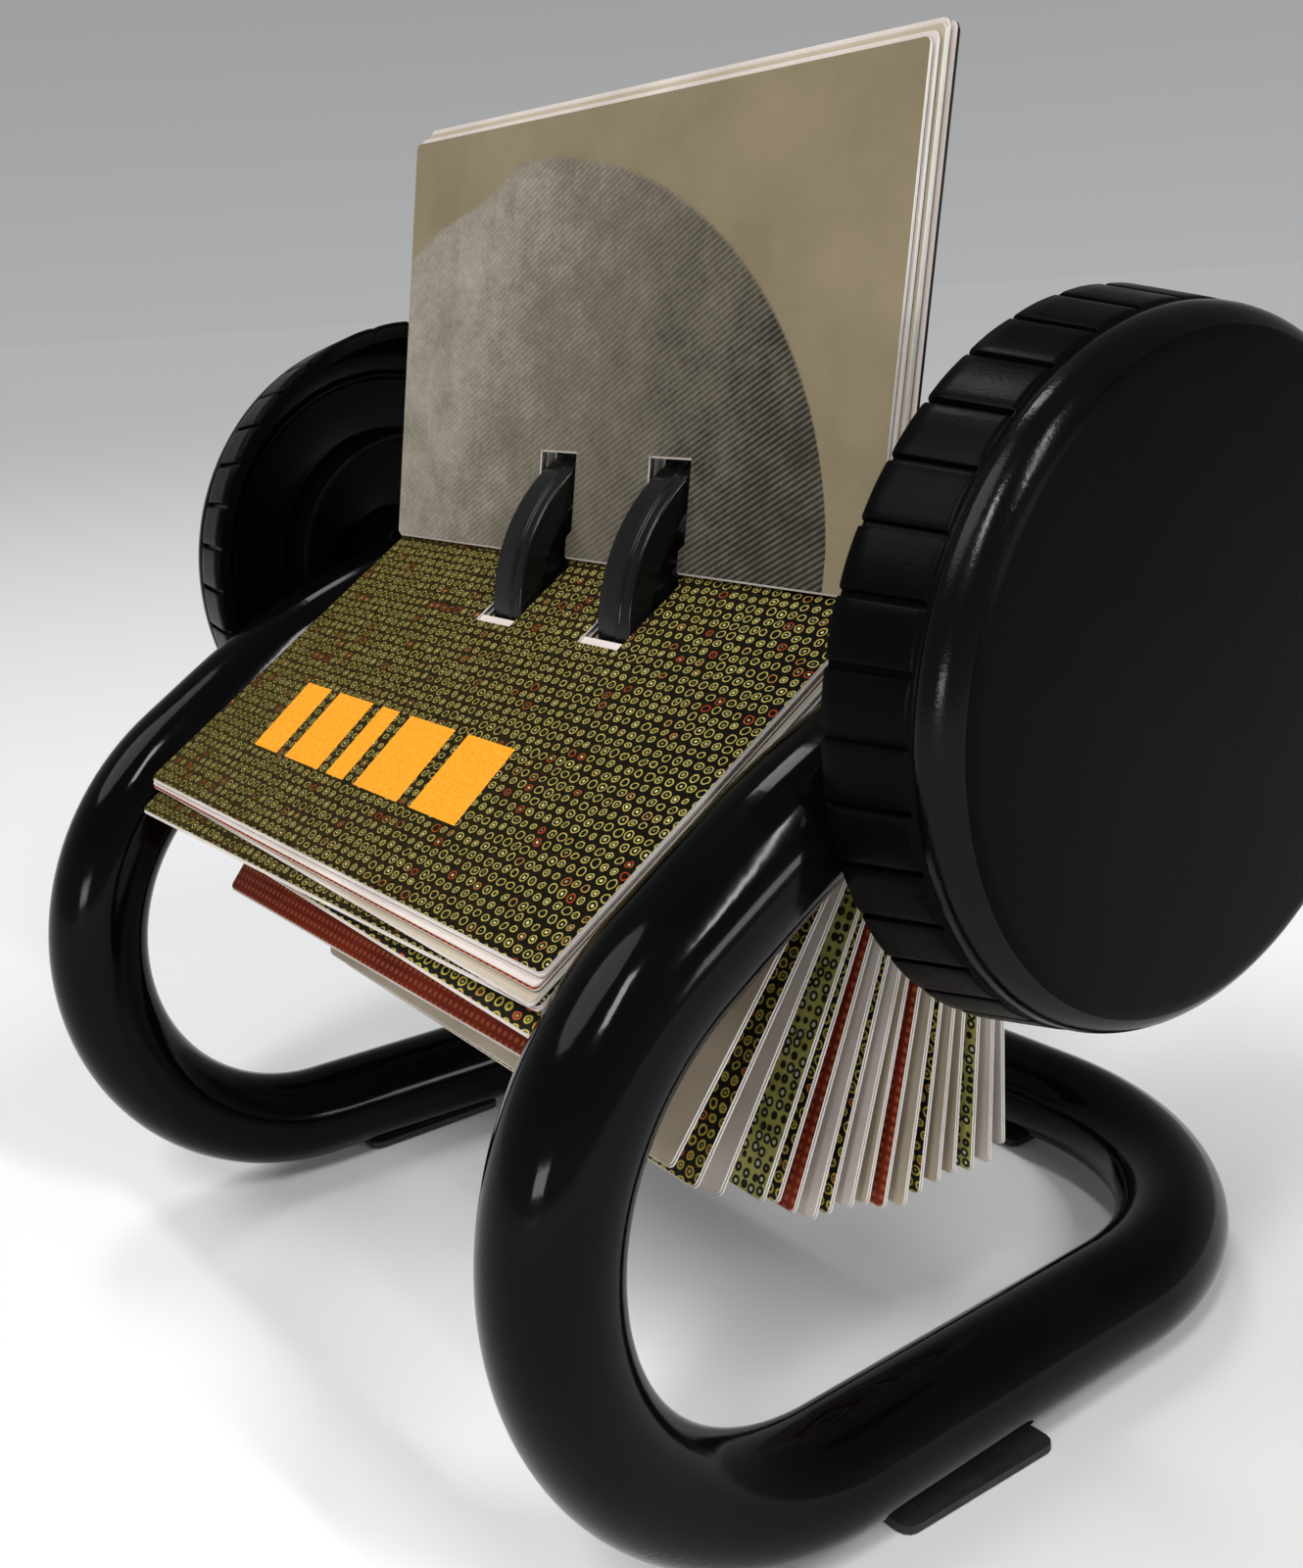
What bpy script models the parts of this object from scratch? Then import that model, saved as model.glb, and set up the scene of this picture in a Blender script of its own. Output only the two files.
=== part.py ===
"""Open rotary card file: bent steel tube stand, hollow ribbed knobs on a through axle,
two T-section card wheels and thick slotted picture cards clipped round them.
Metres, +Z up, X along the axle, -Y towards the user. The pieces are modelled with the axle over
the origin, and the last step moves them all so that the origin lies on the table under the middle
of the overall box."""
import math
import bpy
import bmesh
import numpy as np

MM = 0.001

# ---- stand
FOOT_T = 1.1          # adhesive foot strip thickness
LIFT = 1.2            # underside of the tube above the table
TUBE_R = 7.5          # 15 mm tube
TUBE_WALL = 1.2
AXLE_H = 98.3         # axle centre above the table
ARM_TOP_X = 58.9      # arm centre line at the axle
ARM_LOW_X = 60.4      # arm centre line at the front of the bottom run
ARM_REAR_X = 58.4     # bottom run centre line where the rear corner starts
TAIL = 9.5            # tube carried past the axle
ARM_DIP = 8.5         # arm slope at the axle, degrees below level
ARM_R = 110.3         # gentle upper bend
ARM_TURN = 32.7       # slope where the gentle bend ends
NOSE_R = 36.8         # front bend
REAR_Y = 62.1         # rear crossbar centre line
REAR_R = 41.9         # rear corner bend
TUBE_SEG = 16

# ---- axle line
AXLE_R = 3.0
BUSH_R = 4.6
BUSH_BORE = 3.09
SPACER_R = 6.4
KNOB_IN = 66.8        # inner lip of the knob
KNOB_OUT = 81.4       # outer face of the knob
KNOB_R = 39.3
KNOB_PADS = 36
WHEEL_X = (-9.3, 14.3)
WHEEL_R = 23.2
WHEEL_BAND = 6.6

# ---- cards, the common 4 x 2 1/4 inch size, less a little width to clear the tube
CARD_W = 100.8
CARD_H = 57.5
CARD_T = 0.55
CARD_CORNER = 0.8
SLOT_W = 8.2
SLOT_D = 14.0
SLOT_NECK_W = 6.0
SLOT_NECK_D = 3.5
HANGING = 18          # cards in the hanging bunch
LEADING = 3           # of them, swung ahead of the rest
SET_BACK = 3.37       # the axle stands this far behind the middle of the footprint
LEAD_ROOT = 10.9      # slotted edge of a hanging card from the axle
LEAD_TWIST = 11.9     # degrees the first hanging card is turned between its two ends
UNTWIST = 1.25        # degrees less for each card after it

for stale in list(bpy.data.objects):
    bpy.data.objects.remove(stale, do_unlink=True)

MAIN = bpy.data.collections.new("rotary_card_file")
bpy.context.scene.collection.children.link(MAIN)
CUT = bpy.data.collections.new("cutters")
bpy.context.scene.collection.children.link(CUT)


def material(name, rgb, rough, metal=0.0):
    mat = bpy.data.materials.new(name)
    mat.use_nodes = True
    shader = mat.node_tree.nodes["Principled BSDF"]
    shader.inputs["Base Color"].default_value = (rgb[0], rgb[1], rgb[2], 1.0)
    shader.inputs["Roughness"].default_value = rough
    shader.inputs["Metallic"].default_value = metal
    mat.diffuse_color = (rgb[0], rgb[1], rgb[2], 1.0)
    return mat


def add(name, verts, faces, mat, origin=(0.0, 0.0, 0.0), collection=None):
    """Make a named object from millimetre points, with its origin at a chosen point."""
    shift = np.array(origin, dtype=float)
    points = [tuple((np.array(v, dtype=float) - shift) * MM) for v in verts]
    mesh = bpy.data.meshes.new(name)
    mesh.from_pydata(points, [], faces)
    bm = bmesh.new()
    bm.from_mesh(mesh)
    bmesh.ops.remove_doubles(bm, verts=bm.verts, dist=1e-7)
    bmesh.ops.recalc_face_normals(bm, faces=bm.faces)
    bm.to_mesh(mesh)
    bm.free()
    mesh.update()
    obj = bpy.data.objects.new(name, mesh)
    obj.location = tuple(shift * MM)
    (collection or MAIN).objects.link(obj)
    if mat is not None:
        mesh.materials.append(mat)
    return obj


def revolve_x(name, profile, mat, steps, centre, flip=False):
    """Turn a closed (x, r) outline about the axle; a profile point with r = 0 lies on the axis."""
    verts = []
    faces = []
    rows = []
    for x, r in profile:
        x_here = -x if flip else x
        if r < 1e-6:
            rows.append([len(verts)])
            verts.append((x_here, centre[1], centre[2]))
            continue
        row = []
        for k in range(steps):
            a = 2.0 * math.pi * k / steps
            row.append(len(verts))
            verts.append((x_here, centre[1] + r * math.cos(a), centre[2] + r * math.sin(a)))
        rows.append(row)
    count = len(rows)
    for i in range(count):
        j = (i + 1) % count
        if len(rows[i]) == 1 and len(rows[j]) == 1:
            continue
        for k in range(steps):
            n = (k + 1) % steps
            if len(rows[i]) == 1:
                faces.append((rows[i][0], rows[j][k], rows[j][n]))
            elif len(rows[j]) == 1:
                faces.append((rows[i][k], rows[i][n], rows[j][0]))
            else:
                faces.append((rows[i][k], rows[i][n], rows[j][n], rows[j][k]))
    return add(name, verts, faces, mat, origin=(0.0, centre[1], centre[2]))


def cut_with(target, cutter):
    """Subtract a cutter from a part and keep the cutter as a hidden construction solid."""
    cutter.hide_render = True
    cutter.display_type = "WIRE"
    mod = target.modifiers.new("cut_" + cutter.name, "BOOLEAN")
    mod.operation = "DIFFERENCE"
    mod.solver = "EXACT"
    mod.object = cutter
    return mod


AXLE = (0.0, 0.0, AXLE_H)

BLACK_TUBE = material("tube_black_enamel", (0.012, 0.012, 0.013), 0.16)
BLACK_KNOB = material("knob_black_plastic", (0.014, 0.014, 0.015), 0.36)
BLACK_WHEEL = material("wheel_black_plastic", (0.016, 0.016, 0.017), 0.30)
STEEL = material("axle_steel", (0.60, 0.60, 0.61), 0.30, 1.0)
SPRING = material("spring_steel", (0.50, 0.50, 0.52), 0.28, 1.0)
BUSHING = material("bush_grey_plastic", (0.30, 0.30, 0.30), 0.50)
PLUG = material("plug_black_plastic", (0.02, 0.02, 0.02), 0.55)
FOOT = material("foot_black_rubber", (0.02, 0.02, 0.02), 0.85)
CARD_TAN = material("card_tan", (0.38, 0.31, 0.23), 0.55)
CARD_LATTICE = material("card_lattice", (0.07, 0.06, 0.03), 0.45)
CARD_OLIVE = material("card_olive", (0.20, 0.19, 0.08), 0.45)
CARD_RED = material("card_red", (0.30, 0.05, 0.02), 0.50)
CARD_DARK = material("card_dark", (0.03, 0.03, 0.03), 0.50)
CARD_WHITE = material("card_white", (0.72, 0.68, 0.64), 0.60)


# ------------------------------------------------------------------ tube stand
def side_path():
    """Centre line of one side, in (y, z), from the tube end behind the axle to the rear corner."""
    rest = LIFT + TUBE_R
    a0 = math.radians(ARM_DIP)
    a1 = math.radians(ARM_TURN)
    drop = AXLE_H - rest - ARM_R * (math.cos(a0) - math.cos(a1)) - NOSE_R * (math.cos(a1) + 1.0)
    straight = drop / math.sin(a1)
    pts = [(TAIL * math.cos(a0), AXLE_H + TAIL * math.sin(a0)), (0.0, AXLE_H)]
    y0, z0 = pts[-1]
    for k in range(1, 5):
        a = a0 + (a1 - a0) * k / 4.0
        pts.append((y0 - ARM_R * (math.sin(a) - math.sin(a0)), z0 - ARM_R * (math.cos(a0) - math.cos(a))))
    y0, z0 = pts[-1]
    y0 -= straight * math.cos(a1)
    z0 -= straight * math.sin(a1)
    pts.append((y0, z0))
    for k in range(1, 17):
        a = a1 + (math.pi - a1) * k / 16.0
        pts.append((y0 - NOSE_R * (math.sin(a) - math.sin(a1)), z0 - NOSE_R * (math.cos(a1) - math.cos(a))))
    return pts, rest


def tube_centre_line():
    pts, rest = side_path()
    side = []
    for y, z in pts:
        t = (z - rest) / (AXLE_H - rest)
        side.append((ARM_LOW_X + (ARM_TOP_X - ARM_LOW_X) * t, y, z))
    y_end = REAR_Y - REAR_R
    y_now = pts[-1][0]
    for k in range(1, 4):
        t = k / 3.0
        side.append((ARM_LOW_X + (ARM_REAR_X - ARM_LOW_X) * t, y_now + (y_end - y_now) * t, rest))
    for k in range(1, 10):
        a = math.radians(10.0 * k)
        x = ARM_REAR_X - REAR_R + REAR_R * math.cos(a)
        side.append((x, y_end + REAR_R * math.sin(a), rest))
    right = [np.array(p) for p in side]
    left = [np.array((-p[0], p[1], p[2])) for p in side]
    return right + left[::-1]


def tube_frame():
    path = tube_centre_line()
    n = len(path)
    tangents = []
    for i in range(n):
        a = path[max(i - 1, 0)]
        b = path[min(i + 1, n - 1)]
        t = b - a
        tangents.append(t / np.linalg.norm(t))
    side = np.array((1.0, 0.0, 0.0))
    side = side - tangents[0] * np.dot(side, tangents[0])
    side = side / np.linalg.norm(side)
    verts = []
    outer = []
    inner = []
    for i in range(n):
        side = side - tangents[i] * np.dot(side, tangents[i])
        side = side / np.linalg.norm(side)
        up = np.cross(tangents[i], side)
        for radius, rings in ((TUBE_R, outer), (TUBE_R - TUBE_WALL, inner)):
            ring = []
            for k in range(TUBE_SEG):
                a = 2.0 * math.pi * (k + 0.5) / TUBE_SEG
                ring.append(len(verts))
                verts.append(tuple(path[i] + radius * (math.cos(a) * side + math.sin(a) * up)))
            rings.append(ring)
    faces = []
    for i in range(n - 1):
        for k in range(TUBE_SEG):
            m = (k + 1) % TUBE_SEG
            faces.append((outer[i][k], outer[i][m], outer[i + 1][m], outer[i + 1][k]))
            faces.append((inner[i][k], inner[i + 1][k], inner[i + 1][m], inner[i][m]))
    for i in (0, n - 1):
        for k in range(TUBE_SEG):
            m = (k + 1) % TUBE_SEG
            faces.append((outer[i][k], outer[i][m], inner[i][m], inner[i][k]))
    frame = add("tube_frame", verts, faces, BLACK_TUBE)
    for tag, sign in (("right", 1.0), ("left", -1.0)):
        drill = drill_solid("drill_" + tag, sign)
        cut_with(frame, drill)
    return path


def drill_solid(name, sign):
    steps = 20
    verts = []
    for x in (44.0, 74.0):
        for k in range(steps):
            a = 2.0 * math.pi * k / steps
            r = BUSH_R + 0.3
            verts.append((sign * x, r * math.cos(a), AXLE_H + r * math.sin(a)))
    faces = [tuple(range(steps)), tuple(range(2 * steps - 1, steps - 1, -1))]
    for k in range(steps):
        m = (k + 1) % steps
        faces.append((k, m, steps + m, steps + k))
    return add(name, verts, faces, None, collection=CUT)


def end_plug(name, path, index, inward):
    """Push-in plug with a domed head for an open tube end."""
    end = path[index]
    away = end - path[inward]
    away = away / np.linalg.norm(away)
    side = np.array((1.0, 0.0, 0.0))
    side = side - away * np.dot(side, away)
    side = side / np.linalg.norm(side)
    up = np.cross(away, side)
    shank = TUBE_R - TUBE_WALL - 0.3
    outline = [(-2.6, 0.0), (-2.6, shank - 0.5), (-2.1, shank), (0.3, shank), (0.3, TUBE_R - 0.1)]
    outline += [(1.1, TUBE_R - 0.1), (2.0, TUBE_R - 1.2), (2.6, TUBE_R - 3.4), (2.9, 0.0)]
    steps = 20
    verts = []
    rows = []
    for s, r in outline:
        row = []
        for k in range(1 if r == 0.0 else steps):
            a = 2.0 * math.pi * k / steps
            row.append(len(verts))
            verts.append(tuple(end + away * s + r * (math.cos(a) * side + math.sin(a) * up)))
        rows.append(row)
    faces = []
    for low, high in zip(rows[:-1], rows[1:]):
        for k in range(steps):
            m = (k + 1) % steps
            if len(low) == 1:
                faces.append((low[0], high[m], high[k]))
            elif len(high) == 1:
                faces.append((low[k], low[m], high[0]))
            else:
                faces.append((low[k], low[m], high[m], high[k]))
    add(name, verts, faces, PLUG, origin=tuple(end))


# ------------------------------------------------------------------ axle line
def axle_parts():
    tip = 78.2
    rod = [(-tip, 0.0), (-tip, AXLE_R - 0.5), (-tip + 0.5, AXLE_R), (tip - 0.5, AXLE_R)]
    rod += [(tip, AXLE_R - 0.5), (tip, 0.0)]
    revolve_x("axle_rod", rod, STEEL, 24, AXLE)
    for tag, flip in (("right", False), ("left", True)):
        bush = [(49.6, BUSH_BORE), (49.6, 6.6), (50.9, 6.6), (50.9, BUSH_R), (66.5, BUSH_R), (66.5, BUSH_BORE)]
        revolve_x("axle_bush_" + tag, bush, BUSHING, 24, AXLE, flip)
        washer = [(66.9, BUSH_BORE), (66.9, 6.0), (67.8, 6.0), (67.8, BUSH_BORE)]
        revolve_x("thrust_washer_" + tag, washer, STEEL, 24, AXLE, flip)
    mid_a = WHEEL_X[0] + 5.3
    mid_b = WHEEL_X[1] - 5.3
    spacers = (("spacer_middle", mid_a, mid_b), ("spacer_right", WHEEL_X[1] + 5.3, 48.0))
    spacers += (("spacer_left", -49.3, WHEEL_X[0] - 5.3),)
    for name, x0, x1 in spacers:
        outline = [(x0, BUSH_BORE), (x0, SPACER_R), (x1, SPACER_R), (x1, BUSH_BORE)]
        revolve_x(name, outline, BLACK_WHEEL, 24, AXLE)


def spring_washer():
    """Three-wave ring that keeps a little drag on the axle."""
    steps = 36
    verts = []
    for k in range(steps):
        a = 2.0 * math.pi * k / steps
        x = 48.8 + 0.22 * math.sin(3.0 * a)
        for dx, r in ((-0.15, 3.6), (-0.15, 6.2), (0.15, 6.2), (0.15, 3.6)):
            verts.append((x + dx, r * math.cos(a), AXLE_H + r * math.sin(a)))
    faces = []
    for k in range(steps):
        m = (k + 1) % steps
        for c in range(4):
            d = (c + 1) % 4
            faces.append((4 * k + c, 4 * k + d, 4 * m + d, 4 * m + c))
    add("wave_spring_washer", verts, faces, SPRING, origin=(0.0, 0.0, AXLE_H))


def card_wheels():
    for tag, x in (("left", WHEEL_X[0]), ("right", WHEEL_X[1])):
        half = WHEEL_BAND / 2.0
        profile = [(x - 5.0, BUSH_BORE), (x - 5.0, SPACER_R), (x - 1.6, SPACER_R + 0.8), (x - 1.6, 19.2)]
        profile += [(x - half, 19.6), (x - half, WHEEL_R - 0.4), (x - half + 0.4, WHEEL_R)]
        profile += [(x + 0.5, WHEEL_R), (x + 0.75, WHEEL_R + 0.25), (x + 1.25, WHEEL_R + 0.25)]
        profile += [(x + 1.5, WHEEL_R), (x + half - 0.4, WHEEL_R), (x + half, WHEEL_R - 0.4), (x + half, 19.6)]
        profile += [(x + 1.6, 19.2), (x + 1.6, SPACER_R + 0.8), (x + 5.0, SPACER_R), (x + 5.0, BUSH_BORE)]
        revolve_x("card_wheel_" + tag, profile, BLACK_WHEEL, 40, AXLE)


# ------------------------------------------------------------------ knobs
def knob(name, sign):
    pads = KNOB_PADS
    fine = 4 * pads
    half = 2 * pads
    verts = []
    faces = []

    def point(x, r, a):
        verts.append((sign * x, r * math.cos(a), AXLE_H + r * math.sin(a)))
        return len(verts) - 1

    pitch = 2.0 * math.pi / pads
    gap = 0.42 / KNOB_R

    def grooved_row(x, radius, depth):
        row = []
        for k in range(pads):
            a = pitch * k
            row.append(point(x, radius, a + gap))
            row.append(point(x, radius, a + pitch - gap))
            row.append(point(x, radius - depth, a + pitch - gap * 0.8))
            row.append(point(x, radius - depth, a + pitch + gap * 0.8))
        return row

    def plain_row(x, radius, count, turn):
        return [point(x, radius, 2.0 * math.pi * k / count + turn) for k in range(count)]

    def join_same(low, high):
        n = len(low)
        for k in range(n):
            m = (k + 1) % n
            faces.append((low[k], low[m], high[m], high[k]))

    lip = grooved_row(KNOB_IN, KNOB_R - 0.7, 0.2)
    start = grooved_row(KNOB_IN + 0.6, KNOB_R - 0.1, 0.75)
    stop = grooved_row(76.1, 37.6, 0.75)
    join_same(lip, start)
    join_same(start, stop)
    ring = plain_row(76.5, 37.45, half, pitch * 0.25)
    for k in range(pads):
        a, b, c, d = (stop[4 * k + j] for j in range(4))
        e = stop[(4 * k + 4) % fine]
        p = ring[2 * k]
        q = ring[2 * k + 1]
        r = ring[(2 * k + 2) % half]
        faces.append((a, b, q, p))
        faces.append((b, c, q))
        faces.append((c, d, r, q))
        faces.append((d, e, r))
    shape = [(76.9, 37.1), (77.2, 37.35)]
    for deg in (0, 22.5, 45, 67.5, 90):
        t = math.radians(deg)
        shape.append((KNOB_OUT - 4.0 + 4.0 * math.sin(t), 33.3 + 4.0 * math.cos(t)))
    row = ring
    for x, r in shape:
        nxt = plain_row(x, r, half, pitch * 0.25)
        join_same(row, nxt)
        row = nxt
    hub = point(KNOB_OUT, 0.0, 0.0)
    for k in range(half):
        faces.append((row[k], row[(k + 1) % half], hub))

    inside = [(KNOB_IN, 36.9), (77.6, 35.4), (79.0, 33.8), (79.0, 31.2), (78.1, 31.0), (78.1, 30.2)]
    inside += [(79.0, 30.0), (79.0, 21.6), (71.5, 21.3), (71.5, 20.1), (79.0, 19.8), (79.0, 8.4)]
    inside += [(68.2, 8.0), (68.2, BUSH_BORE), (78.6, BUSH_BORE)]
    rows = [plain_row(x, r, pads, pitch * 0.5) for x, r in inside]
    first = rows[0]
    for k in range(pads):
        o = [lip[(4 * k + j) % fine] for j in range(5)]
        p = first[k]
        q = first[(k + 1) % pads]
        faces.append((o[0], o[1], p))
        faces.append((o[1], o[2], q, p))
        faces.append((o[2], o[3], q))
        faces.append((o[3], o[4], q))
    for low, high in zip(rows[:-1], rows[1:]):
        join_same(low, high)
    floor = point(78.6, 0.0, 0.0)
    for k in range(pads):
        faces.append((rows[-1][k], rows[-1][(k + 1) % pads], floor))
    add(name, verts, faces, BLACK_KNOB, origin=(0.0, 0.0, AXLE_H))


# ------------------------------------------------------------------ cards
def card_outline(x0, x1, height):
    """Outline of a card in its own plane: x along the axle, v up from the slotted edge."""
    pts = []
    corner = CARD_CORNER
    for cx, cv, start in ((x0 + corner, corner, 180), (x1 - corner, corner, 270),
                          (x1 - corner, height - corner, 0), (x0 + corner, height - corner, 90)):
        if start == 270:
            for wx in WHEEL_X:
                w = SLOT_W / 2.0
                n = SLOT_NECK_W / 2.0
                pts += [(wx - n, 0.0), (wx - n, SLOT_NECK_D - 0.9), (wx - w, SLOT_NECK_D), (wx - w, SLOT_D)]
                pts += [(wx + w, SLOT_D), (wx + w, SLOT_NECK_D), (wx + n, SLOT_NECK_D - 0.9), (wx + n, 0.0)]
        for deg in (0, 30, 60, 90):
            a = math.radians(start + deg)
            pts.append((cx + corner * math.cos(a), cv + corner * math.sin(a)))
    return pts


def card(name, mat, alpha, offset, inner, shift=0.0, skew=0.0, drop=0.0, twist=0.0, height=CARD_H):
    """A slotted card. alpha: lean below the user's level line; offset: card plane from the axle,
    towards the open side; inner: slotted edge along the card's own direction."""
    outline = card_outline(-CARD_W / 2.0, CARD_W / 2.0, height)
    bm = bmesh.new()
    ring = [bm.verts.new((x, v, -CARD_T / 2.0)) for x, v in outline]
    face = bm.faces.new(ring)
    made = bmesh.ops.extrude_face_region(bm, geom=[face])
    top = [g for g in made["geom"] if isinstance(g, bmesh.types.BMVert)]
    for v in top:
        v.co.z += CARD_T
    if drop or twist or skew:
        for x in (-38.0, -24.0, 4.0, 28.0, 40.0):
            geom = bm.verts[:] + bm.edges[:] + bm.faces[:]
            bmesh.ops.bisect_plane(bm, geom=geom, plane_co=(x, 0, 0), plane_no=(1, 0, 0))
        for v in (16.0, 30.0, 44.0):
            geom = bm.verts[:] + bm.edges[:] + bm.faces[:]
            bmesh.ops.bisect_plane(bm, geom=geom, plane_co=(0, v, 0), plane_no=(0, 1, 0))
    bmesh.ops.triangulate(bm, faces=bm.faces[:])
    a = math.radians(alpha)
    u = np.array((0.0, -math.cos(a), -math.sin(a)))
    n = np.array((0.0, -math.sin(a), math.cos(a)))
    centre = np.array(AXLE)
    for v in bm.verts:
        x, along, thick = v.co
        rel = x / (CARD_W / 2.0)
        lift = (along / height) * (drop + twist * rel)
        p = centre + np.array((1.0, 0.0, 0.0)) * (x + shift - 0.25 * skew * (along - 8.0) / 50.4)
        p = p + u * (inner + along + skew * rel) + n * (offset + thick + lift)
        v.co = tuple((p - centre) * MM)
    if bm.calc_volume(signed=True) < 0.0:
        bmesh.ops.reverse_faces(bm, faces=bm.faces[:])
    mesh = bpy.data.meshes.new(name)
    bm.to_mesh(mesh)
    bm.free()
    obj = bpy.data.objects.new(name, mesh)
    obj.location = tuple(centre * MM)
    mesh.materials.append(mat)
    MAIN.objects.link(obj)


def standing_cards():
    names = ("card_dome_print", "card_standing_2", "card_standing_3", "card_standing_4", "card_standing_5")
    mats = (CARD_TAN, CARD_WHITE, CARD_TAN, CARD_WHITE, CARD_DARK)
    inner = (5.05, 5.8, 6.6, 7.4, 7.1)
    shift = (0.0, 0.1, 0.3, -0.2, 0.35)
    for k in range(5):
        card(names[k], mats[k], 261.5, -15.9 + 0.85 * k, inner[k], shift[k])


def lying_cards():
    names = ("card_lattice_print", "card_lying_2", "card_lying_3", "card_lying_4")
    mats = (CARD_LATTICE, CARD_WHITE, CARD_TAN, CARD_OLIVE)
    inner = (6.1, 7.0, 7.5, 9.4)
    shift = (0.0, -0.2, 0.1, -0.1)
    skew = (0.5, 0.9, 1.8, -0.3)
    for k in range(4):
        card(names[k], mats[k], 32.9, 13.42 - 0.85 * k, inner[k], shift[k], skew[k])
    card("card_dark_print", CARD_DARK, 32.9, 9.95, 9.3, 0.0, 1.7, -1.2, -1.25)
    # the red card has dropped away from the stack on its own
    card("card_red_print", CARD_RED, 49.0, 10.7, 7.75, -0.5, 0.5, 0.0, 1.5)


def hanging_cards():
    """Cards hanging in a bunch under the axle. Three lead at their right ends, and the first ones sit
    crooked on the wheels, so that their left ends hang back with the rest."""
    stock = (CARD_TAN, CARD_DARK, CARD_WHITE, CARD_OLIVE, CARD_DARK, CARD_RED, CARD_WHITE, CARD_DARK, CARD_WHITE,
             CARD_TAN, CARD_RED, CARD_TAN, CARD_DARK, CARD_TAN, CARD_TAN, CARD_OLIVE, CARD_WHITE, CARD_WHITE)
    for k in range(HANGING):
        near = LEAD_ROOT + 0.7 * math.sin(1.3 * k)
        crooked = max(0.0, LEAD_TWIST - UNTWIST * k)
        if k < LEADING:
            right = 47.6 + 3.9 * k
        else:
            right = 60.9 + 2.6 * (k - LEADING) + 0.12 * math.sin(2.3 * k)
        phi = right + crooked / 2.0
        psi = 27.0 + 5.8 * k
        gap = math.radians(phi - psi)
        far = near * math.cos(gap) + math.sqrt(CARD_H ** 2 - (near * math.sin(gap)) ** 2)
        a = np.array((near * math.cos(math.radians(psi)), near * math.sin(math.radians(psi))))
        b = np.array((far * math.cos(math.radians(phi)), far * math.sin(math.radians(phi))))
        d = (b - a) / np.linalg.norm(b - a)
        alpha = math.degrees(math.atan2(d[1], d[0]))
        inner = float(np.dot(a, d))
        offset = float(a[0] * d[1] - a[1] * d[0])
        drift = (0.0, 0.3, -0.2, 0.15, -0.3)[k % 5]
        lean = far * math.tan(math.radians(crooked / 2.0))
        card("card_hanging_%02d" % (k + 1), stock[k], alpha, offset, inner, drift, twist=lean)


# ------------------------------------------------------------------ feet
def foot(name, cx, cy, width, length):
    c = 1.6
    pts = []
    hw = width / 2.0
    hl = length / 2.0
    for sx, sy, start in ((1, 1, 0), (-1, 1, 90), (-1, -1, 180), (1, -1, 270)):
        for deg in (0, 30, 60, 90):
            a = math.radians(start + deg)
            pts.append((cx + sx * (hw - c) + c * math.cos(a), cy + sy * (hl - c) + c * math.sin(a)))
    n = len(pts)
    verts = [(x, y, 0.0) for x, y in pts] + [(x, y, FOOT_T) for x, y in pts]
    faces = [tuple(range(n))[::-1], tuple(range(n, 2 * n))]
    for k in range(n):
        m = (k + 1) % n
        faces.append((k, m, n + m, n + k))
    add(name, verts, faces, FOOT, origin=(cx, cy, 0.0))


PATH = tube_frame()
end_plug("end_plug_right", PATH, 0, 1)
end_plug("end_plug_left", PATH, len(PATH) - 1, len(PATH) - 2)
axle_parts()
spring_washer()
card_wheels()
knob("knob_right", 1.0)
knob("knob_left", -1.0)
standing_cards()
lying_cards()
hanging_cards()
foot("foot_strip_right", 60.2, -13.0, 12.8, 26.0)
foot("foot_strip_left", -62.6, -13.0, 12.8, 26.0)
foot("foot_strip_rear", 0.0, REAR_Y, 26.0, 12.0)

# everything was modelled about the axle; now the origin goes to the middle of the footprint
for made in bpy.data.objects:
    if made.parent is None:
        made.location.y += SET_BACK * MM
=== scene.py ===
"""Looks of the rotary card file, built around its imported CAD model. Metres, +Z up."""
import math
import bpy
import bmesh
import numpy as np
from mathutils import Vector, Matrix


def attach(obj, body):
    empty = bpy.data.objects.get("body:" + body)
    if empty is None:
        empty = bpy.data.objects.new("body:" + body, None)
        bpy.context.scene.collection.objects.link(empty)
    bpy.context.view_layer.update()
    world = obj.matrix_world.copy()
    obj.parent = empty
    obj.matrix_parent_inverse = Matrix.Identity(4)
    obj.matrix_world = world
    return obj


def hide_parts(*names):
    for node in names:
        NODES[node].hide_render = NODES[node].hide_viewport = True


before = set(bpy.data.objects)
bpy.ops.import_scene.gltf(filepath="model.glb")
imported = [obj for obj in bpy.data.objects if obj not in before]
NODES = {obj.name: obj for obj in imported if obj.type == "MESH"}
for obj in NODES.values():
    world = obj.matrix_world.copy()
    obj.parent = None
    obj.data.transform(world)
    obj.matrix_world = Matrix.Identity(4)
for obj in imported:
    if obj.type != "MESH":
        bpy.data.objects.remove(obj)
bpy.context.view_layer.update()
SC = bpy.context.scene
SC.view_settings.view_transform = "Standard"

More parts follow.
